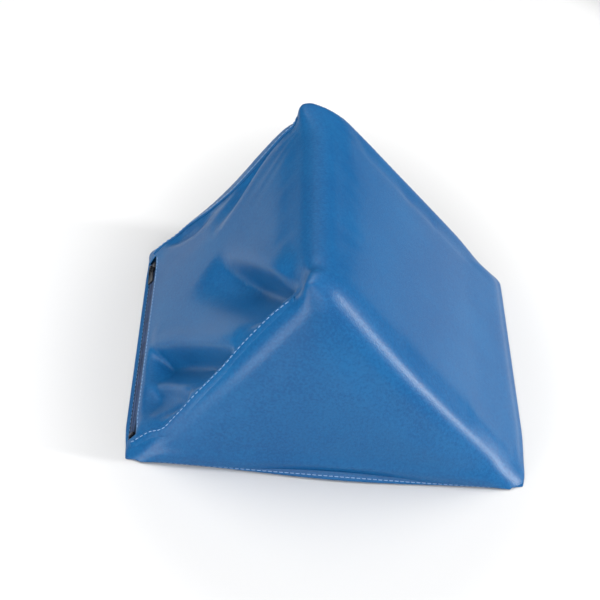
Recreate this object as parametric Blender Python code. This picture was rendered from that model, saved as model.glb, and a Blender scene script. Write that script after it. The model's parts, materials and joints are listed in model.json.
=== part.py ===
"""Incline wedge: a block of firm foam, triangular in section, in a sewn vinyl cover with a zip.

Metres, +Z up. The wedge lies on its broad base with its ridge running front to rear, along Y.
The origin is the middle of the base, on the surface that the wedge lies on. +X points to the foot
of the long working slope, -X to the foot of the steeper back slope, which holds the zip, and -Y is the front.
"""

import math

import bmesh
import bpy
from mathutils import Vector

# The wedge, measured to the sharp corners that its faces would meet in.
WIDTH = 0.356
DEPTH = 0.305
HEIGHT = 0.204
RIDGE_X = -0.027

# The cover.
VINYL = 0.0009
GAP = 0.0003
FOLD = 0.010
FOAM_INSET = 0.0022
FOAM_FOLD = 0.007
FOLD_SEGMENTS = 4

# The zip, measured up the back slope from the bottom edge.
ZIP_CENTRE = 0.0105
FLANGE_TOP = 0.0045
WINDOW_TOP = 0.0165
WINDOW_HALF = 0.1305
TAPE = 0.0006
TAPE_TOP = 0.0245
TAPE_BOTTOM = 0.0032
TAPE_HALF = 0.137
CHAIN_GAP = 0.0014
COIL_WIDTH = 0.0023
COIL_HEIGHT = 0.0016
STOP_LENGTH = 0.003
STOP_HEIGHT = 0.0025
CHAIN_REAR = 0.1195
CHAIN_FRONT = -0.1252

# The slider and its pull, measured from the slider's middle.
SLIDER_LENGTH = 0.011
SLIDER_WIDTH = 0.0086
SLIDER_PLATE = 0.001
SLIDER_RIM = 0.001
NECK_WIDTH = 0.0008
NECK_LENGTH = 0.004
BRIDGE_WIDTH = 0.002
BRIDGE_STRAP = 0.0008
BRIDGE_FRONT = -0.0038
BRIDGE_REAR = 0.0032
BRIDGE_CLEAR = 0.002
HINGE_Y = -0.001
PULL_LENGTH = 0.022
PULL_WIDTH = 0.0074
PULL_THICKNESS = 0.0012
PULL_EYE = 0.0055
PULL_ARM = 0.0012
PULL_TILT = math.radians(4)

# The sewing thread.
THREAD = 0.0005
SEAM_IN = 0.016
SEAM_CORNER_IN = 0.011
SEAM_FOOT = 0.030
SEAM_TOP_SHORT = 0.024
BASE_SEAM_UP = 0.0035
BASE_SEAM_SHORT = 0.014
ZIP_SEAM_UP = 0.0025

LEFT_RUN = RIDGE_X + WIDTH / 2
RIGHT_RUN = WIDTH / 2 - RIDGE_X
LEFT_LENGTH = math.hypot(LEFT_RUN, HEIGHT)
RIGHT_LENGTH = math.hypot(RIGHT_RUN, HEIGHT)
LEFT_ANGLE = math.atan2(HEIGHT, LEFT_RUN)
RIGHT_ANGLE = math.atan2(HEIGHT, RIGHT_RUN)
PROUD = GAP + THREAD / 2

COLLECTION = "incline_wedge_mat"


def clear_scene():
    for item in list(bpy.data.objects):
        bpy.data.objects.remove(item, do_unlink=True)


def collection(name):
    made = bpy.data.collections.new(name)
    bpy.context.scene.collection.children.link(made)
    return made


def material(name, colour, roughness, metallic=0.0):
    made = bpy.data.materials.new(name)
    made.use_nodes = True
    shader = made.node_tree.nodes["Principled BSDF"]
    shader.inputs["Base Color"].default_value = (*colour, 1.0)
    shader.inputs["Roughness"].default_value = roughness
    shader.inputs["Metallic"].default_value = metallic
    return made


def add_object(name, data, group, finish=None, parent=None, place=(0, 0, 0)):
    made = bpy.data.objects.new(name, data)
    group.objects.link(made)
    if finish is not None:
        data.materials.append(finish)
    made.parent = parent
    made.location = place
    return made


def mesh_of(name, bm):
    bmesh.ops.recalc_face_normals(bm, faces=bm.faces)
    mesh = bpy.data.meshes.new(name)
    bm.to_mesh(mesh)
    bm.free()
    return mesh


def box_mesh(name, low, high, edge=0.0):
    """A box between two corners, with its edges eased by edge."""
    bm = bmesh.new()
    bmesh.ops.create_cube(bm, size=1)
    low, high = Vector(low), Vector(high)
    bmesh.ops.scale(bm, vec=high - low, verts=bm.verts)
    bmesh.ops.translate(bm, vec=(low + high) / 2, verts=bm.verts)
    if edge:
        bmesh.ops.bevel(bm, geom=bm.edges, offset=edge, segments=1, affect="EDGES")
    return mesh_of(name, bm)


def wedge_mesh(name, inset, floor, fold):
    """The wedge with its slopes and ends moved inwards by inset, standing on floor, and every edge
    but those of the base rounded over by fold."""
    ridge_z = HEIGHT - inset * (LEFT_LENGTH + RIGHT_LENGTH) / WIDTH

    def left(z):
        return -WIDTH / 2 + (z * LEFT_RUN + inset * LEFT_LENGTH) / HEIGHT

    def right(z):
        return WIDTH / 2 - (z * RIGHT_RUN + inset * RIGHT_LENGTH) / HEIGHT

    bm = bmesh.new()
    bmesh.ops.create_cube(bm, size=1)
    for v in bm.verts:
        y = math.copysign(DEPTH / 2 - inset, v.co.y)
        if v.co.z > 0:
            v.co = Vector((left(ridge_z), y, ridge_z))
        elif v.co.x < 0:
            v.co = Vector((left(floor), y, floor))
        else:
            v.co = Vector((right(floor), y, floor))
    bmesh.ops.remove_doubles(bm, verts=bm.verts, dist=1e-6)
    folds = [e for e in bm.edges if max(v.co.z for v in e.verts) > floor + 1e-6]
    bmesh.ops.bevel(
        bm, geom=folds, offset=fold, offset_type="OFFSET",
        segments=FOLD_SEGMENTS, profile=0.5, affect="EDGES",
    )
    return mesh_of(name, bm)


def boolean(target, cutter, operation):
    step = target.modifiers.new(cutter.name, "BOOLEAN")
    step.operation = operation
    step.solver = "EXACT"
    step.object = cutter


def hidden(cutter):
    """Marks an object as a tool for shaping others, and not a piece."""
    cutter.hide_render = True
    cutter.display_type = "WIRE"
    return cutter


def thread(name, points, group, finish, parent=None):
    """A line of sewing thread through points."""
    curve = bpy.data.curves.new(name, "CURVE")
    curve.dimensions = "3D"
    curve.bevel_depth = THREAD / 2
    curve.bevel_resolution = 2
    curve.use_fill_caps = True
    line = curve.splines.new("POLY")
    line.points.add(len(points) - 1)
    for point, place in zip(line.points, points):
        point.co = (*place, 1.0)
    return add_object(name, curve, group, finish, parent)


def make_foam(parts, cutters, zip_frame, foam):
    """The block, with a shallow channel where the soft foam gives way behind the zip and its slider."""
    mesh = wedge_mesh("foam_core", FOAM_INSET, VINYL + 2 * GAP, FOAM_FOLD)
    block = add_object("foam_core", mesh, parts, foam)
    half = SLIDER_WIDTH / 2 + GAP
    bottom = -(VINYL + TAPE + 3 * GAP + SLIDER_PLATE + GAP)
    channel = box_mesh(
        "foam_channel",
        (ZIP_CENTRE - half, -TAPE_HALF, bottom),
        (ZIP_CENTRE + half, TAPE_HALF, 0.01),
    )
    boolean(block, hidden(add_object("foam_channel", channel, cutters, parent=zip_frame)), "DIFFERENCE")
    return block


def make_cover(parts, cutters, zip_frame, vinyl):
    """The top cover: both slopes and both triangular ends, cut in one piece and open underneath,
    with a window along the foot of the back slope for the zip."""
    mesh = wedge_mesh("top_cover", 0.0, VINYL + GAP, FOLD)
    cover = add_object("top_cover", mesh, parts, vinyl)
    inside = wedge_mesh("cover_inside", VINYL, -0.01, FOLD - VINYL)
    boolean(cover, hidden(add_object("cover_inside", inside, cutters)), "DIFFERENCE")
    window = box_mesh(
        "zip_window", (-0.02, -WINDOW_HALF, -0.02), (WINDOW_TOP, WINDOW_HALF, 0.01)
    )
    boolean(cover, hidden(add_object("zip_window", window, cutters, parent=zip_frame)), "DIFFERENCE")
    return cover


def make_base(parts, cutters, zip_frame, vinyl):
    """The base panel, with its left edge turned up the back slope to carry the lower zip tape."""
    bm = bmesh.new()
    bmesh.ops.create_cube(bm, size=1)
    bmesh.ops.scale(bm, vec=(WIDTH, DEPTH, VINYL), verts=bm.verts)
    bmesh.ops.translate(bm, vec=(0, 0, VINYL / 2), verts=bm.verts)
    corners = [e for e in bm.edges if abs(e.verts[0].co.z - e.verts[1].co.z) > VINYL / 2]
    bmesh.ops.bevel(bm, geom=corners, offset=FOLD, segments=FOLD_SEGMENTS, profile=0.5, affect="EDGES")
    base = add_object("base_panel", mesh_of("base_panel", bm), parts, vinyl)
    sunk = 0.00005
    flange = box_mesh(
        "base_flange",
        (0.001, GAP - WINDOW_HALF, -VINYL - sunk),
        (FLANGE_TOP, WINDOW_HALF - GAP, -sunk),
    )
    boolean(base, hidden(add_object("base_flange", flange, cutters, parent=zip_frame)), "UNION")
    return base


def make_zip(parts, zip_frame, tape, nylon, metal):
    """The two tapes, the two coils and the stops, all in the plane of the back slope."""
    tape_high = -VINYL - GAP
    tape_low = tape_high - TAPE
    coil_low = tape_high + GAP
    inner = CHAIN_GAP / 2
    outer = inner + COIL_WIDTH
    sides = {"upper": 1, "lower": -1}
    far_edges = {"upper": TAPE_TOP, "lower": TAPE_BOTTOM}
    for side, sign in sides.items():
        near_edge = ZIP_CENTRE + sign * inner
        low, high = sorted((near_edge, far_edges[side]))
        mesh = box_mesh(f"zip_tape_{side}", (low, -TAPE_HALF, tape_low), (high, TAPE_HALF, tape_high))
        add_object(f"zip_tape_{side}", mesh, parts, tape, zip_frame)
        low, high = sorted((near_edge, ZIP_CENTRE + sign * outer))
        mesh = box_mesh(
            f"zip_coil_{side}",
            (low, CHAIN_FRONT, coil_low),
            (high, CHAIN_REAR, coil_low + COIL_HEIGHT),
            edge=COIL_HEIGHT / 4,
        )
        add_object(f"zip_coil_{side}", mesh, parts, nylon, zip_frame)
        mesh = box_mesh(
            f"top_stop_{side}",
            (low, CHAIN_REAR + 2 * GAP, coil_low),
            (high, CHAIN_REAR + 2 * GAP + STOP_LENGTH, coil_low + STOP_HEIGHT),
            edge=COIL_HEIGHT / 4,
        )
        add_object(f"top_stop_{side}", mesh, parts, metal, zip_frame)
    mesh = box_mesh(
        "bottom_stop",
        (ZIP_CENTRE - outer, CHAIN_FRONT - GAP - STOP_LENGTH, coil_low),
        (ZIP_CENTRE + outer, CHAIN_FRONT - GAP, coil_low + STOP_HEIGHT),
        edge=COIL_HEIGHT / 4,
    )
    add_object("bottom_stop", mesh, parts, metal, zip_frame)


def make_slider(parts, cutters, slider_frame, metal):
    """The slider: two plates joined by a neck between the coils, rims that hold the coils together,
    and a bridge on top that the pull hangs from."""
    half = SLIDER_WIDTH / 2
    end = SLIDER_LENGTH / 2
    coil_top = -VINYL + COIL_HEIGHT
    under = coil_top + GAP
    top = under + SLIDER_PLATE
    tape_high = -VINYL - GAP
    tape_low = tape_high - TAPE
    lower_top = tape_low - GAP
    lower_bottom = lower_top - SLIDER_PLATE
    slider = add_object(
        "zip_slider",
        box_mesh("zip_slider", (-half, -end, under), (half, end, top)),
        parts, metal, slider_frame,
    )
    lap = SLIDER_PLATE / 4
    blocks = {
        "slider_lower_plate": ((-half, -end, lower_bottom), (half, end, lower_top)),
        "slider_neck": (
            (-NECK_WIDTH / 2, end - NECK_LENGTH, lower_top - lap),
            (NECK_WIDTH / 2, end - lap, under + lap),
        ),
        "slider_rim_upper": (
            (half - SLIDER_RIM, lap - end, tape_high + GAP),
            (half - lap, end - lap, under + lap),
        ),
        "slider_rim_lower": (
            (lap - half, lap - end, tape_high + GAP),
            (SLIDER_RIM - half, end - lap, under + lap),
        ),
    }
    bridge_top = top + BRIDGE_CLEAR + BRIDGE_STRAP
    bridge_half = BRIDGE_WIDTH / 2
    blocks["slider_bridge"] = (
        (-bridge_half, BRIDGE_FRONT, top - lap),
        (bridge_half, BRIDGE_REAR, bridge_top),
    )
    for name, (low, high) in blocks.items():
        block = add_object(name, box_mesh(name, low, high), cutters, parent=slider_frame)
        boolean(slider, hidden(block), "UNION")
    eye = box_mesh(
        "slider_eye",
        (-half, BRIDGE_FRONT + BRIDGE_STRAP, top),
        (half, BRIDGE_REAR - BRIDGE_STRAP, top + BRIDGE_CLEAR),
    )
    boolean(slider, hidden(add_object("slider_eye", eye, cutters, parent=slider_frame)), "DIFFERENCE")
    return top


def make_pull(parts, cutters, pull_frame, metal):
    """The pull tab: a flat plate with an eye whose cross bar turns under the slider's bridge."""
    half = PULL_WIDTH / 2
    thick = PULL_THICKNESS / 2
    mesh = box_mesh("zip_pull", (-half, -PULL_LENGTH, -thick), (half, thick, thick), edge=thick / 2)
    pull = add_object("zip_pull", mesh, parts, metal, pull_frame)
    eye_half = BRIDGE_WIDTH / 2 + GAP + PULL_ARM / 4
    eye = box_mesh("pull_eye", (-eye_half, -PULL_EYE, -half), (eye_half, -thick, half))
    boolean(pull, hidden(add_object("pull_eye", eye, cutters, parent=pull_frame)), "DIFFERENCE")
    for sign, name in ((-1, "pull_shoulder_left"), (1, "pull_shoulder_right")):
        low, high = sorted((sign * (eye_half + PULL_ARM), sign * (half + GAP)))
        shoulder = box_mesh(name, (low, -PULL_EYE, -half), (high, half, half))
        boolean(pull, hidden(add_object(name, shoulder, cutters, parent=pull_frame)), "DIFFERENCE")
    return pull


def on_left_slope(up, y):
    """A point of the left slope's outer face, proud of it by half a thread and the gap."""
    x = -WIDTH / 2 + up * math.cos(LEFT_ANGLE) - PROUD * math.sin(LEFT_ANGLE)
    z = up * math.sin(LEFT_ANGLE) + PROUD * math.cos(LEFT_ANGLE)
    return (x, y, z)


def on_right_slope(up, y):
    x = WIDTH / 2 - up * math.cos(RIGHT_ANGLE) + PROUD * math.sin(RIGHT_ANGLE)
    z = up * math.sin(RIGHT_ANGLE) + PROUD * math.cos(RIGHT_ANGLE)
    return (x, y, z)


def make_seams(parts, cotton):
    """The rows of stitching, each drawn as one continuous thread."""
    for end, sign in (("front", -1), ("rear", 1)):
        edge = sign * DEPTH / 2
        thread(
            f"stitches_back_{end}",
            [
                on_left_slope(SEAM_FOOT / 2, edge - sign * SEAM_CORNER_IN),
                on_left_slope(SEAM_FOOT, edge - sign * SEAM_IN),
                on_left_slope(LEFT_LENGTH - SEAM_TOP_SHORT, edge - sign * SEAM_IN),
            ],
            parts, cotton,
        )
        y = edge + sign * PROUD
        thread(
            f"stitches_base_{end}",
            [
                (BASE_SEAM_SHORT - WIDTH / 2, y, BASE_SEAM_UP),
                (WIDTH / 2 - BASE_SEAM_SHORT, y, BASE_SEAM_UP),
            ],
            parts, cotton,
        )
    reach = DEPTH / 2 - BASE_SEAM_SHORT
    thread(
        "stitches_base_right",
        [on_right_slope(BASE_SEAM_UP, -reach), on_right_slope(BASE_SEAM_UP, reach)],
        parts, cotton,
    )
    for side, up in (("upper", WINDOW_TOP + ZIP_SEAM_UP), ("lower", FLANGE_TOP - ZIP_SEAM_UP)):
        reach = WINDOW_HALF - ZIP_SEAM_UP
        thread(f"stitches_zip_{side}", [on_left_slope(up, -reach), on_left_slope(up, reach)], parts, cotton)


def main():
    clear_scene()
    parts = collection(COLLECTION)
    cutters = collection("cutters")

    vinyl = material("blue_vinyl", (0.052, 0.165, 0.381), 0.42)
    foam = material("foam", (0.72, 0.70, 0.62), 0.95)
    tape = material("zip_tape", (0.018, 0.030, 0.052), 0.85)
    nylon = material("zip_nylon", (0.025, 0.036, 0.055), 0.45)
    metal = material("nickel_plate", (0.52, 0.52, 0.53), 0.30, 1.0)
    cotton = material("sewing_thread", (0.33, 0.50, 0.72), 0.70)

    # The zip's own frame: X up the back slope from the bottom edge, Y to the rear, Z out of the slope.
    zip_frame = add_object("zip_frame", None, parts, place=(-WIDTH / 2, 0, 0))
    zip_frame.rotation_euler = (0, -LEFT_ANGLE, 0)
    slider_y = CHAIN_REAR + GAP - SLIDER_LENGTH / 2
    slider_frame = add_object("slider_frame", None, parts, parent=zip_frame, place=(ZIP_CENTRE, slider_y, 0))

    make_foam(parts, cutters, zip_frame, foam)
    make_cover(parts, cutters, zip_frame, vinyl)
    make_base(parts, cutters, zip_frame, vinyl)
    make_zip(parts, zip_frame, tape, nylon, metal)
    slider_top = make_slider(parts, cutters, slider_frame, metal)
    hinge_z = slider_top + BRIDGE_CLEAR / 2
    pull_frame = add_object("pull_frame", None, parts, parent=slider_frame, place=(0, HINGE_Y, hinge_z))
    pull_frame.rotation_euler = (PULL_TILT, 0, 0)
    make_pull(parts, cutters, pull_frame, metal)
    make_seams(parts, cotton)


main()
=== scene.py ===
"""Incline wedge mat: a foam wedge in a slack, sewn vinyl cover with a zip along the foot of its back slope.

Metres, +Z up. The ridge runs along Y, -Y is the front, and the origin is the middle of the base.
The back slope is the steeper one, on the left, and the working slope is the long one, on the right.
"""

import json
import math

import bpy
import numpy as np
from mathutils import Matrix, Vector
from mathutils.bvhtree import BVHTree

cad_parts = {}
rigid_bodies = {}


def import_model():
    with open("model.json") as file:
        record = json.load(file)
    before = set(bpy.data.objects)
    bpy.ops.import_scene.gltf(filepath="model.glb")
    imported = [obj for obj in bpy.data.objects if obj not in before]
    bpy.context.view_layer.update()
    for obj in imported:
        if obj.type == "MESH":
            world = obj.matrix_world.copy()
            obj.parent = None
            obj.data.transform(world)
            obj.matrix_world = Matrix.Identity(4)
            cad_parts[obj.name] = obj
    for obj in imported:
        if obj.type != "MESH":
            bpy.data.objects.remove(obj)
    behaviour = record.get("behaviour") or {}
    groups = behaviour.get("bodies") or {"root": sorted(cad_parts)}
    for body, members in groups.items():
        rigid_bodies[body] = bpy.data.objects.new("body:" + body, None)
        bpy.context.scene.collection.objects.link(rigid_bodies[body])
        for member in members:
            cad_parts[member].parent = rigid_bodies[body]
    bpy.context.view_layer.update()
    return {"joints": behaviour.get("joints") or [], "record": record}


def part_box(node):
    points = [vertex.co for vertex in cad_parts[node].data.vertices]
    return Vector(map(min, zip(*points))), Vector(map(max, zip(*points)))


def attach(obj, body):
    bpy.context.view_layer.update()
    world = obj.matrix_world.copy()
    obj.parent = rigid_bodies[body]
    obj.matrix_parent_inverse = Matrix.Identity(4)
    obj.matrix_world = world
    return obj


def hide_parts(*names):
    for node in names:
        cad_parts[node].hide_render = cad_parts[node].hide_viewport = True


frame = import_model()

# The wedge, read from the frame: the base, and the directions up and out of both slopes.
base_low, base_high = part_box("base_panel")
WIDTH = base_high.x - base_low.x
DEPTH = base_high.y - base_low.y
pull_joint = next(j for j in frame["joints"] if j["name"] == "pull_swing")
slope_mount = next(m for m in frame["record"]["mounts"] if m["name"] == "working_slope")
BACK_UP = -Vector(pull_joint["axis"]).normalized()
BACK_OUT = Vector((-BACK_UP.z, 0, BACK_UP.x))
WORK_OUT = Vector(slope_mount["axis"]).normalized()
WORK_UP = Vector((-WORK_OUT.z, 0, WORK_OUT.x))
BACK_FOOT = Vector((-WIDTH / 2, 0, 0))
back_rise = BACK_UP.z / BACK_UP.x
work_rise = -WORK_UP.z / WORK_UP.x
HEIGHT = WIDTH * back_rise * work_rise / (back_rise + work_rise)
RIDGE_X = HEIGHT / back_rise - WIDTH / 2
BACK_LENGTH = HEIGHT / BACK_UP.z
FRONT = -DEPTH / 2
REAR = DEPTH / 2

# The vinyl's thickness, and the zip's window in the cover: its top edge, up the back slope, and half its length.
VINYL = 0.0009
WINDOW_TOP = 0.0165
WINDOW_HALF = 0.1305
# Where the zip's middle line lies, up the back slope.
ZIP_CENTRE = 0.0105
# The heights above the floor of the cover's hem and of the foam's underside.
COVER_FOOT = 0.0014
FOAM_FOOT = 0.0022
# The gap between cover and foam, the depth of the foam's groove behind the zip, and how far the foam's foot draws in.
FOAM_GAP = 0.0032
FOAM_GROOVE = 0.0030
FOAM_DRAW_IN = 0.028
# The base panel's rim: its height at the corners and in the middle of the front, and its gap inside the hem.
RIM_LOW = 0.0035
RIM_HIGH = 0.0088
RIM_GAP = 0.0016
HEM_GAP = 0.0012
# How the cover is filled out: the mesh's fineness, the steps of the simulation, and the most that a point may move.
VOXEL = 0.0045
SIM_FRAMES = 20
SIM_CAP = 0.002
# The roll of each fold: the front hips are full and soft, the rear ones drawn tight over the foam.
FOLDS = {"front_left": 0.024, "front_right": 0.023, "rear_left": 0.010, "rear_right": 0.005,
         "ridge": 0.024, "base": 0.002}
# The topstitched seams of the back slope, as (up the slope, along the ridge).
FRONT_SEAM = ((0.009, -0.136), (0.030, -0.137), (0.046, -0.142), (0.060, -0.1415), (0.092, -0.139),
              (0.128, -0.136), (0.165, -0.130), (0.200, -0.125), (0.216, -0.121))
REAR_SEAM = ((0.012, 0.137), (0.050, 0.141), (0.090, 0.134), (0.130, 0.129), (0.175, 0.133), (0.226, 0.137))
STITCH_PITCH = 0.0050
STITCH_LENGTH = 0.0040
STITCH_RADIUS = 0.00042
ZIP_ROW_HALF = 0.128
RIM_ROW_UP = 0.0026
LAP_WIDTH = 0.007


# ---------------------------------------------------------------- small tools

def smooth(x, low, high):
    """0 below low, 1 above high, and an even curve between."""
    t = np.clip((x - low) / (high - low), 0.0, 1.0)
    return t * t * (3 - 2 * t)


def hump(x, centre, half):
    """1 at centre, falling evenly to 0 at half away from it."""
    return 1 - smooth(np.abs(x - centre), 0.0, half)


def deselect():
    for item in bpy.context.view_layer.objects:
        item.select_set(False)


def activate(item):
    deselect()
    item.select_set(True)
    bpy.context.view_layer.objects.active = item


def points_of(item):
    found = np.empty(len(item.data.vertices) * 3)
    item.data.vertices.foreach_get("co", found)
    return found.reshape(-1, 3)


def normals_of(item):
    found = np.empty(len(item.data.vertices) * 3, np.float32)
    item.data.vertex_normals.foreach_get("vector", found)
    return found.reshape(-1, 3).astype(float)


def set_points(item, points):
    item.data.vertices.foreach_set("co", np.asarray(points, np.float32).ravel())
    item.data.update()


def copy_of(item, name):
    made = item.copy()
    made.data = item.data.copy()
    made.name = name
    bpy.context.scene.collection.objects.link(made)
    return made


def apply_modifier(item, kind, **settings):
    activate(item)
    step = item.modifiers.new(kind.lower(), kind)
    for key, value in settings.items():
        setattr(step, key, value)
    bpy.ops.object.modifier_apply(modifier=step.name)


def select_where(item, mode, test):
    """Selects the vertices or faces of a mesh that pass a test, and leaves it in edit mode."""
    activate(item)
    bpy.ops.object.mode_set(mode="EDIT")
    bpy.ops.mesh.select_mode(type=mode)
    bpy.ops.mesh.select_all(action="DESELECT")
    bpy.ops.object.mode_set(mode="OBJECT")
    parts = {"VERT": item.data.vertices, "EDGE": item.data.edges, "FACE": item.data.polygons}[mode]
    for part in parts:
        part.select = bool(test(part))
    bpy.ops.object.mode_set(mode="EDIT")


def leave_edit():
    bpy.ops.object.mode_set(mode="OBJECT")


def curve_through(corners, steps=48):
    """A smooth line through a few points, as closely spaced points."""
    corners = np.array(corners, float)
    ends = np.vstack([2 * corners[0] - corners[1], corners, 2 * corners[-1] - corners[-2]])
    line = []
    spans = len(corners) - 1
    for k in range(steps + 1):
        place = min(k / steps * spans, spans - 1e-9)
        i = int(place)
        t = place - i
        p0, p1, p2, p3 = ends[i:i + 4]
        line.append(0.5 * (
            2 * p1 + (p2 - p0) * t + (2 * p0 - 5 * p1 + 4 * p2 - p3) * t ** 2
            + (3 * p1 - p0 - 3 * p2 + p3) * t ** 3
        ))
    return np.array(line)


def beside(points, line):
    """How far points lie to the right of a line (negative on its left), how far along it, 0 to 1, and how far
    past its ends."""
    away = points[:, None, :] - line[None, :, :]
    nearest = np.argmin((away ** 2).sum(2), axis=1)
    at = np.clip(nearest, 1, len(line) - 2)
    run = line[at + 1] - line[at - 1]
    run /= np.linalg.norm(run, axis=1)[:, None]
    offset = points - line[nearest]
    across = offset[:, 0] * run[:, 1] - offset[:, 1] * run[:, 0]
    lengthwise = (offset * run).sum(1)
    beyond = np.where((nearest == 0) | (nearest == len(line) - 1), np.abs(lengthwise), 0.0)
    return across, nearest / (len(line) - 1), beyond


# ---------------------------------------------------------------- the slack back slope

def crease(places, corners, depth, steep, wide, ease):
    """A drag fold: the vinyl drops away on the right of the line within steep, and comes back up by wide.
    A low lip stands along its left, and the depth eases in and out over the shares of the length in ease."""
    line = curve_through(corners)
    across, along, beyond = beside(places, line)
    fall = smooth(across, 0.0, steep) * (1 - smooth(across, steep, wide))
    lip = 0.07 * np.exp(-((across + 0.3 * steep) / (0.6 * steep)) ** 2)
    ends = smooth(along, 0.0, ease[0]) * (1 - smooth(along, 1 - ease[1], 1.0))
    return -depth * (fall - lip) * ends * np.exp(-(beyond / 0.012) ** 2)


def line_at(seam, up):
    """Where a seam runs along the ridge direction, for heights up the slope."""
    heights, places = zip(*seam)
    return np.interp(up, heights, places)


def back_slope_relief(up, y):
    """How far the slack back panel stands out of its plane, over the whole slope."""
    places = np.stack([up, y], 1)
    inside = smooth(y - line_at(FRONT_SEAM, up), -0.001, 0.014)
    inside_rear = smooth(line_at(REAR_SEAM, up) - y, -0.004, 0.010)
    out = np.zeros(len(up))
    # The panel hangs hollow between ridge, hips and foot.
    out -= 0.0030 * hump(up, 0.135, 0.110) * hump(y, 0.0, 0.150)
    # The pocket under the front end of the ridge, sharp on its upper side.
    out += crease(places, [(0.118, 0.045), (0.142, 0.005), (0.180, -0.046), (0.224, -0.106)],
                  0.0250, 0.017, 0.062, (0.65, 0.05))
    # The two drag folds that run from the front hip to the foot.
    out += crease(places, [(0.020, 0.012), (0.030, -0.020), (0.069, -0.052), (0.114, -0.093), (0.156, -0.134)],
                  0.0225, 0.015, 0.056, (0.20, 0.08))
    out += crease(places, [(0.016, -0.056), (0.040, -0.080), (0.067, -0.104), (0.095, -0.136)],
                  0.0120, 0.014, 0.044, (0.22, 0.10))
    # The furrows beside the rolled rear hip.
    out += crease(places, [(0.214, 0.128), (0.180, 0.118), (0.140, 0.088), (0.105, 0.060)],
                  0.0055, 0.014, 0.036, (0.15, 0.5))
    out += crease(places, [(0.110, 0.112), (0.075, 0.104), (0.040, 0.118), (0.020, 0.140)],
                  0.0045, 0.014, 0.036, (0.3, 0.2))
    # Fine gathers that fan out from the rear end of the ridge.
    turn = np.arctan2(0.150 - y, 0.262 - up)
    reach = np.hypot(0.150 - y, 0.262 - up)
    fan = smooth(reach, 0.020, 0.045) * (1 - smooth(reach, 0.085, 0.150))
    out += 0.00012 * np.sin(turn * 26 + 1.5 * np.sin(turn * 9) + reach * 30) * fan * smooth(turn, 0.25, 0.5)
    return out * np.maximum(inside, 0.03) * np.maximum(inside_rear, 0.2)


# Where the cover is pushed or drawn as a whole: centre, reach and push, all in metres.
PUSHES = (
    # The ears, where the hip seams bunch at both ends of the ridge, and the necks drawn in beneath them.
    ((RIDGE_X - 0.002, REAR - 0.008, HEIGHT - 0.006), (0.022, 0.024, 0.016), (-0.0135, -0.001, 0.0020)),
    ((RIDGE_X - 0.022, REAR - 0.006, HEIGHT - 0.030), (0.015, 0.024, 0.010), (0.0022, -0.0015, -0.0018)),
    ((RIDGE_X - 0.002, FRONT + 0.014, HEIGHT - 0.006), (0.018, 0.020, 0.016), (-0.0165, 0.000, 0.0070)),
    ((RIDGE_X - 0.024, FRONT + 0.040, HEIGHT - 0.022), (0.014, 0.014, 0.010), (0.0060, 0.000, -0.0050)),
    # The pocket drawn in under the front ear, and the fold behind it.
    ((RIDGE_X - 0.030, FRONT + 0.050, HEIGHT - 0.030), (0.016, 0.024, 0.014), (0.0085, 0.000, -0.0060)),
    ((RIDGE_X - 0.002, FRONT + 0.050, HEIGHT - 0.002), (0.020, 0.009, 0.012), (0.0010, 0.000, -0.0026)),
    # The corners of the base: two stuffed full, and the front right one drawn round.
    ((WIDTH / 2, FRONT, 0.002), (0.010, 0.010, 0.016), (-0.0022, 0.0020, 0.0)),
    ((-WIDTH / 2 + 0.004, FRONT + 0.004, 0.010), (0.022, 0.022, 0.016), (-0.0020, -0.0010, 0.0)),
    ((-WIDTH / 2 + 0.004, REAR - 0.006, 0.010), (0.020, 0.020, 0.018), (-0.0040, 0.0020, 0.0)),
)


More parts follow.
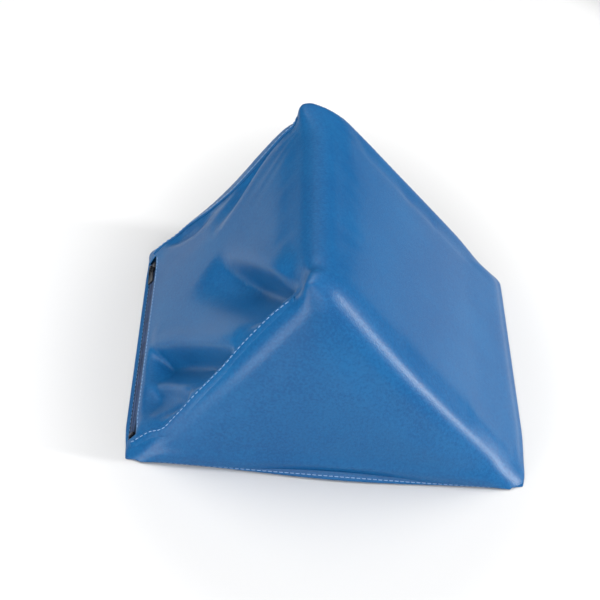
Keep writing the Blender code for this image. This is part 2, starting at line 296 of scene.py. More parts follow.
def shape_wedge(points):
    """Moves a plain wedge's points to where the slack, stuffed cover lies."""
    points = points.copy()
    x, y, z = points.T
    # The front face leans back towards the front ear.
    lean = smooth(z, 0.090, HEIGHT + 0.01) * smooth(-y, -0.02, -FRONT)
    points[:, 1] += 0.0165 * lean
    # Both ends and the working slope are full.
    full = hump(z, 0.055, 0.075) * hump(x, 0.02, 0.17)
    points[:, 1] += np.sign(y) * 0.0020 * full * smooth(np.abs(y), 0.10, 0.14)
    # The stuffing holds the rear hips and the right edge full.
    hip = smooth(y, REAR - 0.030, REAR - 0.004) * smooth(z, 0.010, 0.050)
    hip *= 1 - 0.8 * smooth(z, HEIGHT - 0.035, HEIGHT - 0.008)
    points[:, 1] += 0.0050 * hip
    points[:, 2] += 0.0030 * hip
    points[:, 0] += 0.0020 * hip * smooth(x, RIDGE_X, RIDGE_X + 0.06)
    points[:, 0] += 0.0030 * smooth(x, WIDTH / 2 - 0.050, WIDTH / 2 - 0.010) * smooth(y, FRONT + 0.010, FRONT + 0.080)
    # The foot spreads a little on the floor, but keeps to its line along the zip.
    foot = (1 - smooth(z, 0.004, 0.030)) * 0.0010
    points[:, 1] += foot * np.sign(y) * smooth(np.abs(y), 0.11, 0.14)
    points[:, 1] -= 2.6 * foot * hump(x, 0.030, 0.200) * smooth(-y, 0.11, 0.14)
    points[:, 0] += foot * smooth(x, 0.12, 0.16)
    # The rear hip of the back slope hangs in a curve between its two corners.
    rel = points - np.array(BACK_FOOT)
    up = rel @ np.array(BACK_UP)
    depth = -(rel @ np.array(BACK_OUT))
    sag = smooth(up, 0.020, 0.100) * (1 - smooth(up, 0.110, 0.200))
    near_hip = np.exp(-(depth / 0.050) ** 2) * smooth(y, REAR - 0.085, REAR - 0.004)
    points += (sag * near_hip)[:, None] * (np.array(BACK_OUT) * -0.0035 + np.array((0, -0.0045, 0)))
    # The folds and hollows of the back panel.
    follow = 1 - smooth(depth, 0.006, 0.034)
    near_zip = smooth(up, WINDOW_TOP + 0.006, WINDOW_TOP + 0.020)
    near_ridge = 1 - smooth(up, BACK_LENGTH - 0.050, BACK_LENGTH - 0.010)
    relief = back_slope_relief(up, points[:, 1]) * follow * near_zip * near_ridge
    points += relief[:, None] * np.array(BACK_OUT)
    for centre, reach, push in PUSHES:
        away = (points - np.array(centre)) / np.array(reach)
        points += np.exp(-(away ** 2).sum(1))[:, None] * np.array(push)
    return points


def which_fold(middle):
    """Names the fold that an edge of the plain wedge belongs to, by its middle."""
    if middle.z < 0.001:
        return "base"
    if middle.z > HEIGHT - 0.001:
        return "ridge"
    end = "front" if middle.y < 0 else "rear"
    return f"{end}_{'left' if middle.x < RIDGE_X else 'right'}"


def plain_wedge(name):
    """A closed wedge with rounded folds, from a cube whose top is drawn in to the ridge."""
    deselect()
    bpy.ops.mesh.primitive_cube_add(size=1, location=(0, 0, HEIGHT / 2), scale=(WIDTH, DEPTH, HEIGHT))
    wedge = bpy.context.object
    wedge.name = name
    bpy.ops.object.transform_apply(location=True, rotation=True, scale=True)
    select_where(wedge, "VERT", lambda v: v.co.z > HEIGHT / 2)
    bpy.ops.transform.resize(value=(0, 1, 1), center_override=(RIDGE_X, 0, HEIGHT))
    bpy.ops.mesh.select_all(action="SELECT")
    bpy.ops.mesh.remove_doubles(threshold=0.0001)
    leave_edit()
    widest = max(FOLDS.values())
    share = wedge.data.attributes.new("bevel_weight_edge", "FLOAT", "EDGE")
    corners = wedge.data.vertices
    for edge, weight in zip(wedge.data.edges, share.data):
        middle = (corners[edge.vertices[0]].co + corners[edge.vertices[1]].co) / 2
        weight.value = FOLDS[which_fold(middle)] / widest
    apply_modifier(wedge, "BEVEL", limit_method="WEIGHT", width=widest, segments=8)
    return wedge


def inflate(item):
    """Fills the cover out with a soft pressure, as the foam does, with its foot held on the floor."""
    start = points_of(item)
    held = item.vertex_groups.new(name="foot")
    low = [int(i) for i in np.where(start[:, 2] < 0.008)[0]]
    held.add(low, 1.0, "REPLACE")
    cloth = item.modifiers.new("Cloth", "CLOTH")
    cloth.settings.quality = 5
    cloth.settings.use_pressure = True
    cloth.settings.uniform_pressure_force = 4
    cloth.settings.effector_weights.gravity = 0
    cloth.settings.vertex_group_mass = "foot"
    cloth.point_cache.frame_start = 1
    cloth.point_cache.frame_end = SIM_FRAMES
    scene = bpy.context.scene
    for number in range(1, SIM_FRAMES + 1):
        scene.frame_set(number)
    seen = item.evaluated_get(bpy.context.evaluated_depsgraph_get())
    moved = np.empty(len(seen.data.vertices) * 3)
    seen.data.vertices.foreach_get("co", moved)
    moved = moved.reshape(-1, 3)
    item.modifiers.remove(cloth)
    item.vertex_groups.remove(held)
    scene.frame_set(1)
    step = moved - start
    size = np.linalg.norm(step, axis=1)
    step *= np.minimum(1.0, SIM_CAP / np.maximum(size, 1e-9))[:, None]
    set_points(item, start + step)


def soft_wedge():
    """The filled, unpanelled wedge that the cover, the foam and the base are all made from."""
    wedge = plain_wedge("soft_wedge")
    activate(wedge)
    wedge.data.remesh_voxel_size = VOXEL
    bpy.ops.object.voxel_remesh()
    apply_modifier(wedge, "SMOOTH", factor=0.5, iterations=3)
    inflate(wedge)
    apply_modifier(wedge, "SMOOTH", factor=0.5, iterations=5)
    apply_modifier(wedge, "SUBSURF", levels=1, render_levels=1)
    set_points(wedge, shape_wedge(points_of(wedge)))
    return wedge


def rim_rise(x, y):
    """How far the base panel's turned-up rim shows above its low corners: most in the middle of the front."""
    return (RIM_HIGH - RIM_LOW) * hump(x, 0.012, 0.115) * (0.35 + 0.65 * smooth(-y, 0, 0.1))


def cut_clean(item, place, facing, drop=False):
    """Cuts a straight line through a mesh, and drops what lies beyond it if asked."""
    select_where(item, "FACE", lambda f: True)
    bpy.ops.mesh.bisect(plane_co=place, plane_no=facing, use_fill=False, clear_outer=drop)
    leave_edit()


def in_window(face):
    """Whether a face lies in the zip's window, or in the narrow edge of vinyl below it."""
    rel = face.center - BACK_FOOT
    return rel.dot(BACK_UP) < WINDOW_TOP and rel.dot(BACK_OUT) > -0.010 and abs(face.center.y) < WINDOW_HALF


def make_cover(wedge):
    """The top cover: one skin over both slopes and both ends, open underneath and at the zip."""
    cover = copy_of(wedge, "vinyl_cover")
    cut_clean(cover, (0, 0, COVER_FOOT), (0, 0, -1), drop=True)
    cut_clean(cover, BACK_FOOT + BACK_UP * WINDOW_TOP, BACK_UP)
    for side in (-1, 1):
        cut_clean(cover, (0, side * WINDOW_HALF, 0), (0, side, 0))
    select_where(cover, "FACE", in_window)
    bpy.ops.mesh.delete(type="FACE")
    leave_edit()
    # The lower hem rises over the base panel's rim, clear of it except at the corners, and draws in at the front.
    points = points_of(cover)
    low = 1 - smooth(points[:, 2], COVER_FOOT, 0.024)
    on_side = np.abs(points[:, 1]) > DEPTH / 2 - 0.02
    on_front = smooth(-points[:, 1], 0.11, 0.14)
    clear = HEM_GAP * (1 - smooth(np.abs(points[:, 0]), 0.140, 0.168))
    points[:, 2] += np.where(on_side, low * (rim_rise(points[:, 0], points[:, 1]) + clear), 0.0)
    waist = (1 - smooth(points[:, 2], 0.008, 0.020)) * hump(points[:, 0], 0.012, 0.120)
    points[:, 1] += 0.0022 * waist * on_front
    set_points(cover, points)
    apply_modifier(cover, "SOLIDIFY", thickness=VINYL, offset=-1)
    cover.data.shade_smooth()
    return cover


def make_foam(wedge):
    """The foam block, close under the cover, with the groove that it takes behind the zip."""
    foam = copy_of(wedge, "foam_block")
    points = points_of(foam)
    outward = normals_of(foam)
    rel = points - np.array(BACK_FOOT)
    groove = hump(rel @ np.array(BACK_UP), ZIP_CENTRE, 0.018) * smooth(outward @ np.array(BACK_OUT), 0.2, 0.7)
    inset = points - outward * (FOAM_GAP + FOAM_GROOVE * groove)[:, None]
    inset[:, :2] *= 1 - FOAM_DRAW_IN * (1 - smooth(points[:, 2], 0.006, 0.024))[:, None]
    inset[:, 2] = np.maximum(inset[:, 2], FOAM_FOOT)
    set_points(foam, inset)
    foam.data.shade_smooth()
    return foam


def make_base(wedge):
    """The base panel: a flat sheet whose rim turns up all round, inside the cover's lower hem."""
    base = copy_of(wedge, "base_tray")
    cut_clean(base, (0, 0, RIM_LOW), (0, 0, 1), drop=True)
    # Rows of points up the rim, to shape it by.
    for share in (0.2, 0.4, 0.6, 0.8):
        cut_clean(base, (0, 0, RIM_LOW * share), (0, 0, 1))
    points = points_of(base)
    # Below the zip the rim rolls out over the floor.
    roll = hump(points[:, 2], 0.0012, 0.0040) * (1 - smooth(points[:, 0], -WIDTH / 2, -WIDTH / 2 + 0.012))
    points[:, 0] -= 0.0045 * roll * (1 - smooth(np.abs(points[:, 1]), 0.105, 0.150))
    # In the middle of the front the rim slopes back under the hem, and its foot rolls forward.
    rim = smooth(points[:, 2], 0.0, RIM_LOW)
    front = hump(points[:, 0], 0.012, 0.125) * smooth(-points[:, 1], 0.11, 0.14)
    slant = 0.0048 * smooth(points[:, 2], 0.0010, RIM_LOW)
    rolled = 0.0040 * smooth(points[:, 2], -0.0005, 0.0008)
    points[:, 1] += front * (slant - rolled)
    points[:, 2] += rim * rim_rise(points[:, 0], points[:, 1])
    outward = normals_of(base)
    set_points(base, points - outward * (RIM_GAP * rim)[:, None])
    apply_modifier(base, "SOLIDIFY", thickness=VINYL, offset=-1)
    base.data.shade_smooth()
    return base


# ---------------------------------------------------------------- seams

def surface_of(item):
    """The outer surface of a piece, to lay things on."""
    mesh = item.data
    mesh.calc_loop_triangles()
    return BVHTree.FromPolygons(
        [v.co for v in mesh.vertices], [tuple(t.vertices) for t in mesh.loop_triangles],
    )


def land(surface, start, toward):
    """Where a straight line from start first meets the surface, and the way that the surface faces there.
    If it misses, the nearest place on the surface is taken."""
    place, facing, _, _ = surface.ray_cast(start, toward)
    if place is None:
        place, facing, _, _ = surface.find_nearest(start)
    if facing.dot(toward) > 0:
        facing = -facing
    return place, facing


def laid_line(surface, path, toward, step):
    """A path dropped onto a surface along one direction, as evenly spaced (place, facing) pairs."""
    fine = curve_through(path, 400)
    spots = [land(surface, Vector(p) - toward * 0.08, toward) for p in fine]
    line = [spots[0]]
    gone = 0.0
    for before, after in zip(spots, spots[1:]):
        gone += (after[0] - before[0]).length
        if gone >= step:
            line.append(after)
            gone = 0.0
    return line


def slope_path(seam):
    """A seam given on the back slope, as points in space."""
    return [tuple(BACK_FOOT + BACK_UP * up + Vector((0, y, 0))) for up, y in seam]


def stitch_shape():
    """One stitch: a short length of thread that dips in at both ends."""
    deselect()
    bpy.ops.mesh.primitive_uv_sphere_add(segments=6, ring_count=6, radius=1)
    shape = bpy.context.object
    points = points_of(shape)[:, [2, 0, 1]]
    points[:, 0] = np.sign(points[:, 0]) * np.abs(points[:, 0]) ** 0.7
    points *= np.array((STITCH_LENGTH / 2, STITCH_RADIUS, STITCH_RADIUS))
    points[:, 2] -= STITCH_RADIUS * 1.3 * (points[:, 0] / (STITCH_LENGTH / 2)) ** 2
    faces = [tuple(f.vertices) for f in shape.data.polygons]
    bpy.data.objects.remove(shape)
    return points, faces


def stitch_row(name, line):
    """A row of separate stitches along a laid line, as one piece."""
    shape, faces = stitch_shape()
    points, polygons = [], []
    for (before, _), (place, facing), (after, _) in zip(line, line[1:], line[2:]):
        run = (after - before).normalized()
        side = facing.cross(run).normalized()
        turn = np.array((run, side, run.cross(side))).T
        base = len(points) * len(shape)
        lifted = np.array(place + facing * STITCH_RADIUS * 0.7)
        points.append(shape @ turn.T + lifted)
        polygons += [tuple(base + i for i in f) for f in faces]
    mesh = bpy.data.meshes.new(name)
    mesh.from_pydata(np.concatenate(points).tolist(), [], polygons)
    mesh.update()
    row = bpy.data.objects.new(name, mesh)
    bpy.context.scene.collection.objects.link(row)
    row.data.shade_smooth()
    return row


def lap_strip(name, surface, seam, side):
    """The turned edge of the front or rear piece where it laps over the back panel: a lip that stands
    proud along the seam and runs out into the hip. side is the way to the hip along the ridge."""
    # How far from the seam towards the hip each row of points lies, and how far it stands off the cover.
    spread = ((-0.0016, 0.0000), (-0.0014, 0.0008), (-0.0006, 0.0013), (0.0010, 0.0013),
              (LAP_WIDTH * 0.5, 0.0008), (LAP_WIDTH, -0.0003))
    fine = curve_through(seam, 110)
    points = []
    for up, y in fine:
        for across, lift in spread:
            start = BACK_FOOT + BACK_UP * up + Vector((0, y + side * across, 0)) + BACK_OUT * 0.08
            place, facing = land(surface, start, -BACK_OUT)
            points.append(place + facing * lift)
    wide = len(spread)
    faces = [
        (r * wide + c, r * wide + c + 1, (r + 1) * wide + c + 1, (r + 1) * wide + c)[::-side]
        for r in range(len(fine) - 1) for c in range(wide - 1)
    ]
    mesh = bpy.data.meshes.new(name)
    mesh.from_pydata([tuple(p) for p in points], [], faces)
    mesh.update()
    lap = bpy.data.objects.new(name, mesh)
    bpy.context.scene.collection.objects.link(lap)
    apply_modifier(lap, "SOLIDIFY", thickness=VINYL, offset=-1)
    apply_modifier(lap, "SUBSURF", levels=1, render_levels=1)
    lap.data.shade_smooth()
    return lap


def make_seams(cover, base):
    """The two lapped edges and every row of stitches, laid on the finished cover and base panel, as
    (piece, slot, nodes that it stands for)."""
    skin = surface_of(cover)
    rim = surface_of(base)
    made = []
    for name, seam, side, node in (
        ("front_lap", FRONT_SEAM, -1, "stitches_back_front"), ("rear_lap", REAR_SEAM, 1, "stitches_back_rear"),
    ):
        lap = lap_strip(name, skin, seam, side)
        made.append((lap, "vinyl", ()))
        shifted = [(up, y + side * 0.0012) for up, y in seam]
        line = laid_line(surface_of(lap), slope_path(shifted), -BACK_OUT, STITCH_PITCH)
        made.append((stitch_row(node + "_row", line), "thread", (node,)))
    # Above the zip the row lies on the cover, and below it on the tape's edge, which is straight.
    above = laid_line(
        skin, slope_path([(0.0190, -ZIP_ROW_HALF), (0.0190, 0.0), (0.0190, ZIP_ROW_HALF)]), -BACK_OUT, STITCH_PITCH,
    )
    edge = BACK_FOOT + BACK_UP * 0.0020 + BACK_OUT * 0.0002
    below = [
        (edge + Vector((0, -ZIP_ROW_HALF + k * STITCH_PITCH, 0)), BACK_OUT)
        for k in range(round(2 * ZIP_ROW_HALF / STITCH_PITCH) + 1)
    ]
    for node, line in (("stitches_zip_upper", above), ("stitches_zip_lower", below)):
        made.append((stitch_row(node + "_row", line), "thread", (node,)))
    for node, y, toward in (
        ("stitches_base_front", FRONT, Vector((0, 1, 0))), ("stitches_base_rear", REAR, Vector((0, -1, 0))),
    ):
        path = [(x, y, RIM_ROW_UP + 0.55 * float(rim_rise(x, y))) for x in np.linspace(-0.160, 0.160, 17)]
        made.append((stitch_row(node + "_row", laid_line(rim, path, toward, STITCH_PITCH * 0.9)), "thread", (node,)))
    path = [(WIDTH / 2 - 0.001, y, RIM_ROW_UP) for y in (-0.138, 0.0, 0.138)]
    line = laid_line(rim, path, Vector((-1, 0, 0)), STITCH_PITCH)
    made.append((stitch_row("stitches_base_right_row", line), "thread", ("stitches_base_right",)))
    return made


# ---------------------------------------------------------------- the zip

# The zip's own frame: x up the back slope from its foot, y along the ridge, z out of the slope.
ZIP_FRAME = Matrix((BACK_UP, Vector((0, 1, 0)), BACK_OUT)).transposed().to_4x4()
ZIP_FRAME.translation = BACK_FOOT
TAPE_HALF = 0.1315
COIL_PITCH = 0.0019
COIL_REAR = 0.1190
COIL_FRONT = -0.1248


def block(low, high, edge, taper=(1, 1), segments=2):
    """A rounded block between two corners of the zip's frame; taper narrows its rear end."""
    low, high = Vector(low), Vector(high)
    deselect()
    bpy.ops.mesh.primitive_cube_add(size=1, location=(low + high) / 2, scale=high - low)
    made = bpy.context.object
    bpy.ops.object.transform_apply(location=True, rotation=True, scale=True)
    middle = (low + high) / 2
    select_where(made, "VERT", lambda v: v.co.y > middle.y)
    bpy.ops.transform.resize(value=(taper[0], 1, taper[1]), center_override=(middle.x, high.y, middle.z))
    bpy.ops.mesh.select_all(action="SELECT")
    bpy.ops.mesh.bevel(offset=edge, segments=segments, profile=0.5, affect="EDGES")
    leave_edit()
    return made


def joined(name, parts):
    """Joins parts made in the zip's frame into one piece, in place on the slope."""
    deselect()
    for part in parts:
        part.select_set(True)
    bpy.context.view_layer.objects.active = parts[0]
    if len(parts) > 1:
        bpy.ops.object.join()
    made = parts[0]
    made.name = name
    made.data.transform(ZIP_FRAME)
    activate(made)
    bpy.ops.object.shade_smooth_by_angle(angle=math.radians(35))
    return made


def make_tape(name, low, high):
    """A woven tape with a thicker selvedge along each edge."""
    web = block((low, -TAPE_HALF, -0.00180), (high, TAPE_HALF, -0.00120), 0.0001)
    cords = [
        block((at - 0.0005, -TAPE_HALF, -0.0013), (at + 0.0005, TAPE_HALF, -0.00095), 0.00015)
        for at in (low + 0.0012, high - 0.0012)
    ]
    return joined(name, [web, *cords])


def make_coil(name, near, far, shift):
    """One half of the chain, as a row of rounded turns of the coil."""
    deselect()
    bpy.ops.mesh.primitive_cylinder_add(vertices=8, radius=1, depth=2)
    peg = bpy.context.object
    select_where(peg, "FACE", lambda f: abs(f.normal.z) > 0.9)
    bpy.ops.mesh.bevel(offset=0.3, segments=1, affect="EDGES")
    leave_edit()
    shape = points_of(peg)[:, [2, 0, 1]]
    faces = [tuple(f.vertices) for f in peg.data.polygons]
    bpy.data.objects.remove(peg)
    middle, half = (near + far) / 2, abs(far - near) / 2
    points, polygons = [], []
    for k in range(int((COIL_REAR - COIL_FRONT) / COIL_PITCH)):
        y = COIL_FRONT + (k + shift) * COIL_PITCH
        base = k * len(shape)
        points.append(shape * np.array((half, COIL_PITCH * 0.36, 0.00075)) + np.array((middle, y, -0.0001)))
        polygons += [tuple(base + i for i in f) for f in faces]
    mesh = bpy.data.meshes.new(name)
    mesh.from_pydata(np.concatenate(points).tolist(), [], polygons)
    mesh.update()
    coil = bpy.data.objects.new(name, mesh)
    bpy.context.scene.collection.objects.link(coil)
    return joined(name, [coil])


def make_slider():
    """The slider: two plates joined by a neck, with rims down its sides and a bridge over the top for the pull."""
    c, y = ZIP_CENTRE, 0.1143
    parts = [
        block((c - 0.0043, y - 0.0055, 0.0010), (c + 0.0043, y + 0.0055, 0.0020), 0.0003, (0.86, 1)),
        block((c - 0.0043, y - 0.0055, -0.0031), (c + 0.0043, y + 0.0055, -0.0021), 0.0003, (0.86, 1)),
        block((c - 0.0004, y + 0.0016, -0.0024), (c + 0.0004, y + 0.0054, 0.0014), 0.0001),
        block((c - 0.0010, y - 0.0038, 0.0018), (c + 0.0010, y - 0.0030, 0.0046), 0.0002),
        block((c - 0.0010, y + 0.0024, 0.0018), (c + 0.0010, y + 0.0032, 0.0046), 0.0002),
        block((c - 0.0010, y - 0.0038, 0.0040), (c + 0.0010, y + 0.0032, 0.0048), 0.0003),
    ]
    for side in (-1, 1):
        inner, outer = sorted((c + side * 0.0043, c + side * 0.0037))
        parts.append(block((inner, y - 0.0048, 0.0006), (outer, y + 0.0048, 0.0014), 0.0001))
    return joined("slider_body", parts)


def make_pull():
    """The pull: an eye that hangs on the bridge, and a waisted grip with a sunk panel on each face."""
    hinge_y, hinge_out, c = 0.1133, 0.0030, ZIP_CENTRE
    half, thick = 0.0037, 0.0006
    bar = block((c - half, hinge_y - thick, -thick), (c + half, hinge_y + thick, thick), 0.0003)
    arms = [
        block(
            (c + side * (half - 0.00075) - 0.0006, hinge_y - 0.0068, -thick * 0.9),
            (c + side * (half - 0.00075) + 0.0006, hinge_y, thick * 0.9), 0.0003,
        )
        for side in (-1, 1)
    ]
    grip = block((c - half, hinge_y - 0.0214, -thick), (c + half, hinge_y - 0.0060, thick), 0.0003, (0.82, 1))
    select_where(grip, "FACE", lambda f: abs(f.normal.z) > 0.99 and f.area > 0.00002)
    bpy.ops.mesh.inset(thickness=0.0009, depth=-0.0003)
    leave_edit()
    parts = [bar, *arms, grip]
    # The pull hangs from the bridge, and its free end leans in to the coil.
    lean = Matrix.Rotation(math.radians(4), 4, "X")
    tilt = Matrix.Translation((0, hinge_y, hinge_out)) @ lean @ Matrix.Translation((0, -hinge_y, 0))
    for part in parts:
        part.data.transform(tilt)
    return joined("pull_tab", parts)


def make_zip():
    """The zip's pieces, as (piece, body, slot, node that it stands for)."""
    c = ZIP_CENTRE
    made = [
        (make_tape("tape_upper", c + 0.0007, 0.0245), "mat", "zip_tape", "zip_tape_upper"),
        (make_tape("tape_lower", 0.0032, c - 0.0007), "mat", "zip_tape", "zip_tape_lower"),
        (make_coil("coil_upper", c + 0.0006, c + 0.0030, 0.25), "mat", "zip_nylon", "zip_coil_upper"),
        (make_coil("coil_lower", c - 0.0006, c - 0.0030, 0.75), "mat", "zip_nylon", "zip_coil_lower"),
        (make_slider(), "slider", "nickel", "zip_slider"),
        (make_pull(), "pull", "nickel", "zip_pull"),
    ]
    for name, low, high in (
        ("upper", (c + 0.0007, 0.1201, -0.0009), (c + 0.0030, 0.1231, 0.0016)),
        ("lower", (c - 0.0030, 0.1201, -0.0009), (c - 0.0007, 0.1231, 0.0016)),
    ):
        made.append((joined("rear_stop_" + name, [block(low, high, 0.0004)]), "mat", "nickel", "top_stop_" + name))
    stop = block((c - 0.0030, -0.1285, -0.0009), (c + 0.0030, -0.1255, 0.0016), 0.0004)
    made.append((joined("front_stop", [stop]), "mat", "nickel", "bottom_stop"))
    return made


# ---------------------------------------------------------------- materials

# Real sizes of each finish's pattern, in metres.
PEBBLE = 0.0012
PEBBLE_FINE = 0.0008
COATING_SPECK = 0.0024
COATING_CLOUD = 0.070
FOAM_PORE = 0.0011
FOAM_PATCH = 0.060
# Real threads are half as wide, and wouldn't show.
TAPE_THREAD = 0.0008
THREAD_TWIST = 0.0006
RUB_LENGTH = 0.012
PLATE_WEAR = 0.005
SCUFF = 0.0005


def linear(code):
    """A colour given as sRGB hex, as the linear RGBA that a shader takes."""
    found = []
    for start in (0, 2, 4):
        c = int(code[start:start + 2], 16) / 255
        found.append(c / 12.92 if c <= 0.04045 else ((c + 0.055) / 1.055) ** 2.4)
    return (*found, 1.0)


def add_node(tree, kind, links=None, **settings):
    """Adds a node, sets its properties and unlinked inputs, and links the inputs named in links."""
    node = tree.nodes.new(kind)
    for key, value in settings.items():
        if key in node.bl_rna.properties:
            setattr(node, key, value)
        else:
            node.inputs[key].default_value = value
    for key, source in (links or {}).items():
        tree.links.new(source, node.inputs[key])
    return node


def new_material(name, **settings):
    made = bpy.data.materials.new(name)
    made.use_nodes = True
    shader = made.node_tree.nodes["Principled BSDF"]
    for key, value in settings.items():
        shader.inputs[key.replace("_", " ")].default_value = value
    return made, made.node_tree, shader


def colour_between(tree, shader, value, low, high, start, stop):
    """Colours a surface from one hex to another as a pattern's value goes from start to stop."""
    ramp = add_node(tree, "ShaderNodeValToRGB", {"Fac": value})
    for end, code, position in zip(ramp.color_ramp.elements, (low, high), (start, stop)):
        end.position = position
        end.color = linear(code)
    tree.links.new(ramp.outputs["Color"], shader.inputs["Base Color"])


def rough_between(tree, shader, value, low, high):
    """Makes a surface rougher where a pattern's value is higher."""
    spread = add_node(tree, "ShaderNodeMapRange", {"Value": value})
    for key, number in (("From Min", 0.3), ("From Max", 0.7), ("To Min", low), ("To Max", high)):
        spread.inputs[key].default_value = number
    tree.links.new(spread.outputs["Result"], shader.inputs["Roughness"])


def wave_scale(pitch):
    """The scale at which a wave texture's bands repeat every pitch metres."""
    return 2 * math.pi / (20 * pitch)


def vinyl_material():
    """PVC-coated polyester, calendered and embossed: an even blue with a soft sheen over a fine pebble,
    a little lighter and darker where the coating is thicker or thinner."""
    made, tree, shader = new_material("embossed_pvc_blue", Roughness=0.39, IOR=1.38)
    place = add_node(tree, "ShaderNodeTexCoord").outputs["Object"]
    clouds = add_node(tree, "ShaderNodeTexNoise", {"Vector": place}, Scale=1 / COATING_CLOUD, Detail=3.0)
    speck = add_node(tree, "ShaderNodeTexNoise", {"Vector": place}, Scale=1 / COATING_SPECK, Detail=3.0)
    blend = add_node(
        tree, "ShaderNodeMix", {"A": clouds.outputs["Fac"], "B": speck.outputs["Fac"]}, data_type="FLOAT", Factor=0.6,
    )
    colour_between(tree, shader, blend.outputs["Result"], "0E5187", "156096", 0.38, 0.62)
    pebble = add_node(tree, "ShaderNodeTexVoronoi", {"Vector": place}, Scale=1 / PEBBLE)
    fine = add_node(tree, "ShaderNodeTexNoise", {"Vector": place}, Scale=1 / PEBBLE_FINE, Detail=2.0)
    first = add_node(tree, "ShaderNodeBump", {"Height": pebble.outputs["Distance"]}, Strength=0.28, Distance=0.0004)
    second = add_node(
        tree, "ShaderNodeBump", {"Height": fine.outputs["Fac"], "Normal": first.outputs["Normal"]},
        Strength=0.14, Distance=0.0003,
    )
    tree.links.new(second.outputs["Normal"], shader.inputs["Normal"])
    return made


def foam_material():
    """Open-cell polyurethane foam, cut from a block: matt cream, yellowing in patches, and full of small pores."""
    made, tree, shader = new_material("cut_polyurethane_foam", Roughness=0.95)
    place = add_node(tree, "ShaderNodeTexCoord").outputs["Object"]
    patches = add_node(tree, "ShaderNodeTexNoise", {"Vector": place}, Scale=1 / FOAM_PATCH, Detail=2.0)
    colour_between(tree, shader, patches.outputs["Fac"], "D9CFB2", "EAE5D6", 0.35, 0.65)
    pores = add_node(tree, "ShaderNodeTexVoronoi", {"Vector": place}, Scale=1 / FOAM_PORE)
    bump = add_node(tree, "ShaderNodeBump", {"Height": pores.outputs["Distance"]}, Strength=0.8, Distance=FOAM_PORE / 2)
    tree.links.new(bump.outputs["Normal"], shader.inputs["Normal"])
    return made


def tape_material():
    """Woven polyester tape, dyed navy: a dull cloth whose warp and weft give a fine check, lighter on the high
    threads."""
    made, tree, shader = new_material("woven_polyester_tape", Roughness=0.8)
    place = add_node(tree, "ShaderNodeTexCoord").outputs["Object"]
    weft = add_node(tree, "ShaderNodeTexWave", {"Vector": place}, bands_direction="Y", Scale=wave_scale(TAPE_THREAD))
    warp = add_node(
        tree, "ShaderNodeTexWave", {"Vector": place}, bands_direction="Z", Scale=wave_scale(TAPE_THREAD * BACK_UP.z),
    )
    weave = add_node(tree, "ShaderNodeMath", {0: weft.outputs["Fac"], 1: warp.outputs["Fac"]}, operation="MULTIPLY")
    colour_between(tree, shader, weave.outputs["Value"], "101D30", "22364F", 0.1, 0.8)
    bump = add_node(tree, "ShaderNodeBump", {"Height": weave.outputs["Value"]}, Strength=0.7, Distance=TAPE_THREAD / 4)
    tree.links.new(bump.outputs["Normal"], shader.inputs["Normal"])
    return made


def nylon_material():
    """Nylon monofilament, coiled and heat set: a smooth, slightly waxy blue, dulled unevenly where the slider runs."""
    made, tree, shader = new_material("nylon_coil", IOR=1.53)
    place = add_node(tree, "ShaderNodeTexCoord").outputs["Object"]
    rubbed = add_node(tree, "ShaderNodeTexNoise", {"Vector": place}, Scale=1 / RUB_LENGTH, Detail=3.0)
    colour_between(tree, shader, rubbed.outputs["Fac"], "22385A", "34507A", 0.35, 0.65)
    rough_between(tree, shader, rubbed.outputs["Fac"], 0.32, 0.52)
    return made


def nickel_material():
    """Zinc castings under black nickel plate, tumbled: a dark, warm grey metal with a satin shine and fine scuffs."""
    made, tree, shader = new_material("black_nickel_plate", Metallic=1.0)
    place = add_node(tree, "ShaderNodeTexCoord").outputs["Object"]
    worn = add_node(tree, "ShaderNodeTexNoise", {"Vector": place}, Scale=1 / PLATE_WEAR, Detail=4.0)
    colour_between(tree, shader, worn.outputs["Fac"], "393C41", "4B4E53", 0.35, 0.70)
    rough_between(tree, shader, worn.outputs["Fac"], 0.26, 0.48)
    scuffs = add_node(tree, "ShaderNodeTexNoise", {"Vector": place}, Scale=1 / SCUFF, Detail=2.0, Distortion=1.5)
    bump = add_node(tree, "ShaderNodeBump", {"Height": scuffs.outputs["Fac"]}, Strength=0.25, Distance=0.0001)
    tree.links.new(bump.outputs["Normal"], shader.inputs["Normal"])
    return made


def thread_material():
    """Spun polyester sewing thread, two plies twisted: pale blue, with darker lines where the plies meet."""
    made, tree, shader = new_material("polyester_thread", Roughness=0.6)
    place = add_node(tree, "ShaderNodeTexCoord").outputs["Object"]
    plies = add_node(
        tree, "ShaderNodeTexWave", {"Vector": place}, bands_direction="DIAGONAL", Scale=wave_scale(THREAD_TWIST),
    )
    colour_between(tree, shader, plies.outputs["Fac"], "6A8CBA", "8FB0D8", 0.15, 0.55)
    bump = add_node(tree, "ShaderNodeBump", {"Height": plies.outputs["Fac"]}, Strength=0.5, Distance=0.00005)
    tree.links.new(bump.outputs["Normal"], shader.inputs["Normal"])
    return made


def wear(item, finish):
    item.data.materials.clear()
    item.data.materials.append(finish)


# ---------------------------------------------------------------- the studio

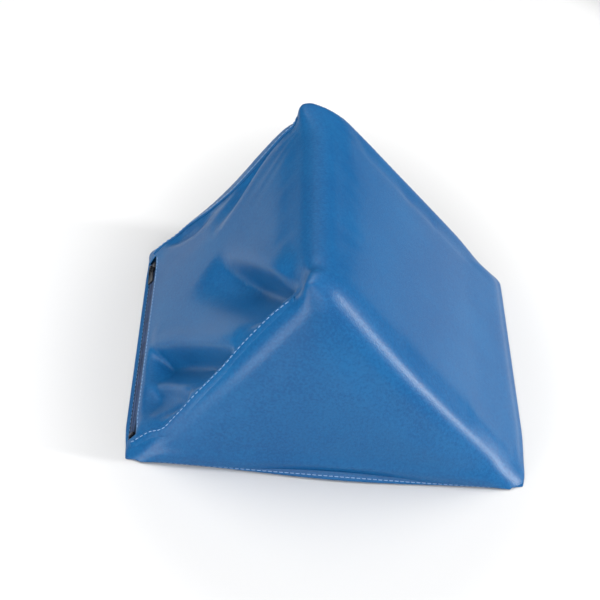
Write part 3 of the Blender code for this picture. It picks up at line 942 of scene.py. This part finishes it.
def make_camera():
    azimuth, elevation, roll = math.radians(-3.6), math.radians(37.6), math.radians(6.7)
    distance, lens = 1.516, 99.4
    look = Vector((-0.0313, 0, 0.0737))
    back = Vector((
        math.sin(azimuth) * math.cos(elevation), -math.cos(azimuth) * math.cos(elevation), math.sin(elevation),
    ))
    right = Vector((math.cos(azimuth), math.sin(azimuth), 0))
    up = back.cross(right)
    turned_right = right * math.cos(roll) + up * math.sin(roll)
    turned_up = up * math.cos(roll) - right * math.sin(roll)
    data = bpy.data.cameras.new("camera")
    data.lens = lens
    camera = bpy.data.objects.new("camera", data)
    bpy.context.scene.collection.objects.link(camera)
    turn = Matrix((turned_right, turned_up, back)).transposed().to_4x4()
    camera.matrix_world = Matrix.Translation(look + back * distance) @ turn
    bpy.context.scene.camera = camera


def area_light(name, place, target, size, power):
    data = bpy.data.lights.new(name, "AREA")
    data.shape = "RECTANGLE"
    data.size, data.size_y = size
    data.energy = power
    lamp = bpy.data.objects.new(name, data)
    bpy.context.scene.collection.objects.link(lamp)
    lamp.location = place
    lamp.rotation_mode = "QUATERNION"
    lamp.rotation_quaternion = (Vector(target) - Vector(place)).to_track_quat("-Z", "Y")


def make_studio():
    deselect()
    bpy.ops.mesh.primitive_plane_add(size=12, location=(0, 0, -0.0002))
    floor = bpy.context.object
    floor.name = "floor"
    paper, tree, shader = new_material("paper_with_painted_shade", Roughness=0.9)
    # Painted shade: the sheet's colour holds a painted contact shadow close round the object, is white further out, and
    # falls off far away into a painted shade of the room.
    place = add_node(tree, "ShaderNodeTexCoord")
    narrow = add_node(tree, "ShaderNodeVectorMath", {0: place.outputs["Object"]}, operation="MULTIPLY")
    narrow.inputs[1].default_value = (1.45, 0.85, 1)
    reach = add_node(tree, "ShaderNodeVectorMath", {0: narrow.outputs["Vector"]}, operation="LENGTH")
    shade = add_node(tree, "ShaderNodeValToRGB", {"Fac": reach.outputs["Value"]})
    shade.color_ramp.interpolation = "EASE"
    steps = shade.color_ramp.elements
    for position, code in ((0.44, "F6F6F6"), (0.80, "F6F6F6")):
        steps.new(position).color = linear(code)
    # Painted shadow: a darker grey close round the object, where its contact shadow falls.
    steps[0].position = 0.26
    steps[0].color = linear("D8D8D8")
    # Painted shade: grey far off, where the light falls away into the room.
    steps[-1].position = 1.0
    steps[-1].color = linear("66686C")
    tree.links.new(shade.outputs["Color"], shader.inputs["Base Color"])
    wear(floor, paper)
    world = bpy.data.worlds.new("studio")
    world.use_nodes = True
    tree = world.node_tree
    way = add_node(tree, "ShaderNodeTexCoord")
    split = add_node(tree, "ShaderNodeSeparateXYZ", {"Vector": way.outputs["Generated"]})
    sky = add_node(tree, "ShaderNodeValToRGB", {"Fac": split.outputs["Z"]})
    sky.color_ramp.elements[0].position = 0.10
    sky.color_ramp.elements[0].color = (0.03, 0.03, 0.03, 1)
    sky.color_ramp.elements[1].position = 0.65
    sky.color_ramp.elements[1].color = (0.38, 0.38, 0.38, 1)
    tree.links.new(sky.outputs["Color"], tree.nodes["Background"].inputs["Color"])
    bpy.context.scene.world = world
    middle = (0, 0, 0.08)
    area_light("top_softbox", (-0.35, 0.22, 1.7), middle, (1.6, 1.0), 20.5)
    area_light("front_softbox", (0.1, -1.7, 1.2), middle, (1.4, 0.8), 14.5)
    area_light("right_softbox", (2.40, -0.25, 0.78), middle, (0.24, 0.75), 54)
    area_light("left_softbox", (-1.45, -2.10, 0.42), middle, (0.8, 0.5), 26)
    bpy.context.scene.view_settings.view_transform = "Standard"


def main():
    make_camera()
    make_studio()
    finishes = {
        "vinyl": vinyl_material(), "foam": foam_material(), "zip_tape": tape_material(), "zip_nylon": nylon_material(),
        "nickel": nickel_material(), "thread": thread_material(),
    }
    wedge = soft_wedge()
    cover, foam, base = make_cover(wedge), make_foam(wedge), make_base(wedge)
    bpy.data.objects.remove(wedge)
    pieces = [(cover, "vinyl", ("top_cover",)), (foam, "foam", ("foam_core",)), (base, "vinyl", ("base_panel",))]
    pieces += make_seams(cover, base)
    for piece, slot, replaced in pieces:
        wear(piece, finishes[slot])
        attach(piece, "mat")
        if replaced:
            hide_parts(*replaced)
    for piece, body, slot, node in make_zip():
        wear(piece, finishes[slot])
        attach(piece, body)
        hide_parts(node)


main()
